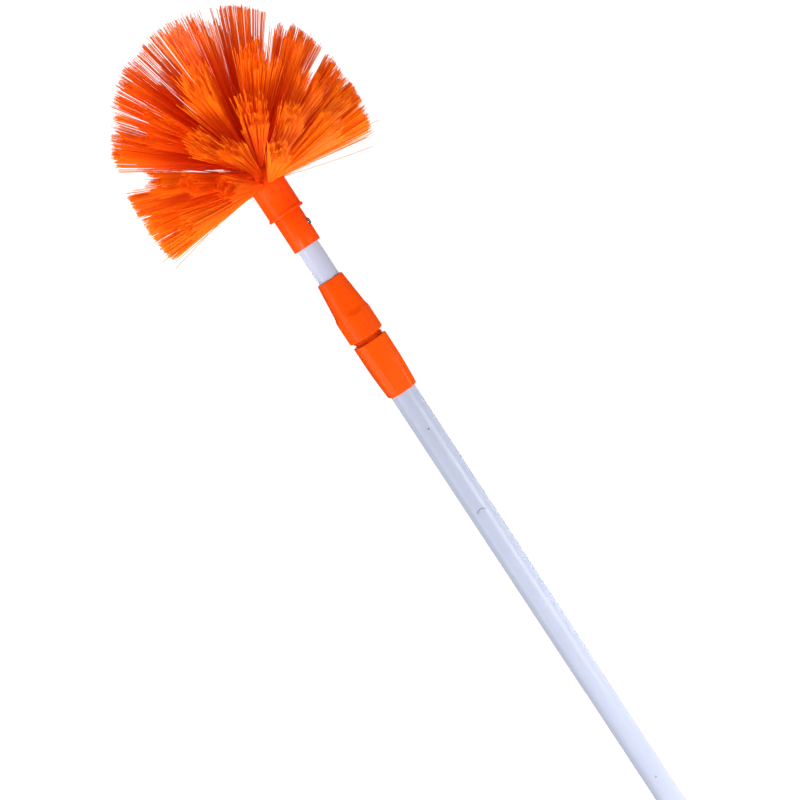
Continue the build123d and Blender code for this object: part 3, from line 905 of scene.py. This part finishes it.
def make_strays():
    """All stray filaments, as one piece in the bristles' finish."""
    built = bmesh.new()
    for height, turn, tilt, length, bow, kink in stray_filaments:
        turn = near_turn + radians(turn)
        out = Vector((cos(turn), sin(turn), 0))
        way = out * sin(radians(tilt)) + Vector((0, 0, cos(radians(tilt))))
        across = way.cross(Vector((0, 0, 1))).cross(way).normalized()
        start = out * (neck_radius - stray_sunk) + Vector((0, 0, height))
        course = []
        for step in range(stray_steps + 1):
            share = step / stray_steps
            bend = bow * share ** 2 + (kink * (share - kink_from) if share > kink_from else 0.0)
            course.append((start + way * length * share + across * bend) * mm)
        add_filament(built, course, stray_radius * mm)
    bmesh.ops.recalc_face_normals(built, faces=built.faces)
    strays = as_piece("stray_filaments", built)
    strays.data.materials.append(bristle_orange)
    for name, value in (("tint", 0.5), ("along", 0.6)):
        layer = strays.data.attributes.new(name, "FLOAT", "POINT")
        layer.data.foreach_set("value", [value] * len(strays.data.vertices))
    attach(strays, "brush_head")


make_strays()


# Floor, light and camera. The floor and the room show white, and are dimmer in what mirrors them.
floor_reach, floor_glow = 6, 0.75
room_low_light, room_high_light, room_mirror_loss, room_seen = 0.79, 0.35, 0.96, 1.1
camera_place = Vector((319.7, -1045.7, 941.9)) * mm
camera_right = Vector((0.82483, 0.16199, -0.54168))
camera_up = Vector((0.48292, 0.29638, 0.82398))
photo_width, photo_focal_length = 800, 1220  # in pixels
sensor_width = 36
pole_right, pole_near = Vector((0.956, 0.292, 0)), Vector((0.292, -0.956, 0))


def make_floor():
    """White paper, level with the lowest point of the part."""
    low = cad_box[0][2]
    ground = bmesh.new()
    ground.faces.new([ground.verts.new((x * floor_reach, y * floor_reach, low))
                      for x, y in ((-1, -1), (1, -1), (1, 1), (-1, 1))])
    floor = as_piece("studio_floor", ground)
    paper, tree, shader, place = new_finish("White paper", Roughness=0.9)
    shade = blend_colour(tree, noise(tree, place, 2.0, 2.0), (0.93, 0.93, 0.935, 1), (0.95, 0.95, 0.95, 1))
    mirrored = put(tree, "ShaderNodeLightPath").outputs["Is Glossy Ray"]
    shade = blend_colour(tree, mirrored, shade, (0.04, 0.04, 0.04, 1))
    tree.links.new(shade, shader.inputs["Base Color"])
    shader.inputs["Emission Color"].default_value = (1, 1, 1, 1)
    tree.links.new(between(tree, mirrored, 0, 1, floor_glow, 0.0), shader.inputs["Emission Strength"])
    floor.data.materials.append(paper)


def make_room_light():
    """An even white room, a little weaker overhead, which the camera sees as plain white."""
    world = bpy.data.worlds.new("White room")
    world.use_nodes = True
    tree = world.node_tree
    back = tree.nodes["Background"]
    back.inputs["Color"].default_value = (1, 1, 1, 1)
    rays = put(tree, "ShaderNodeLightPath").outputs
    rise = height_of(tree, put(tree, "ShaderNodeTexCoord").outputs["Generated"])
    even = between(tree, rise, 0.0, 0.7, room_low_light, room_high_light)
    gloss = calc(tree, "SUBTRACT", 1.0, product(tree, rays["Is Glossy Ray"], room_mirror_loss))
    seen = product(tree, rays["Is Camera Ray"], room_seen)
    shown = calc(tree, "MAXIMUM", product(tree, even, gloss), seen)
    tree.links.new(shown, back.inputs["Strength"])
    scene.world = world


def soft_light(name, right, near, height, width, tall, power, aim=None, spread=180):
    """A soft box, upright or turned to a height on the pole. right and near are metres from the pole."""
    place = pole_right * right + pole_near * near + Vector((0, 0, height))
    lamp = bpy.data.lights.new(name, "AREA")
    lamp.shape = "RECTANGLE"
    lamp.size, lamp.size_y = width, tall
    lamp.energy = power
    lamp.spread = radians(spread)
    shown = bpy.data.objects.new(name, lamp)
    back = (place - Vector((0, 0, place.z if aim is None else aim))).normalized()
    side = Vector((0, 0, 1)).cross(back).normalized()
    turned = Matrix((side, back.cross(side), back)).transposed().to_4x4()
    shown.matrix_world = Matrix.Translation(place) @ turned
    scene.collection.objects.link(shown)


def make_camera():
    """The photograph's camera, as worked out from the pole's widths and edges."""
    lens = bpy.data.cameras.new("Photo camera")
    lens.sensor_width = sensor_width
    lens.lens = sensor_width * photo_focal_length / photo_width
    lens.clip_start, lens.clip_end = 0.02, 50
    camera = bpy.data.objects.new("Photo camera", lens)
    right = camera_right.normalized()
    up = (camera_up - right * camera_up.dot(right)).normalized()
    turned = Matrix((right, up, right.cross(up))).transposed().to_4x4()
    camera.matrix_world = Matrix.Translation(camera_place) @ turned
    scene.collection.objects.link(camera)
    scene.camera = camera


make_floor()
make_room_light()
soft_light("Key from the left", -0.95, 0.45, 0.45, 0.5, 1.9, 9)
soft_light("Edge from the right", 1.0, 0.05, 0.6, 0.25, 1.6, 0.9)
soft_light("Fill from behind", 0.1, -0.9, 0.55, 0.6, 1.4, 3.6)
soft_light("Pole fill", 0.6, 0.6, 0.27, 0.5, 0.7, 2.45, spread=80)
soft_light("Head fill", -0.45, 0.6, 0.72, 0.4, 0.4, 0.42, aim=1.12, spread=34)
make_camera()
scene.view_settings.view_transform = "Standard"
scene.view_settings.look = "None"
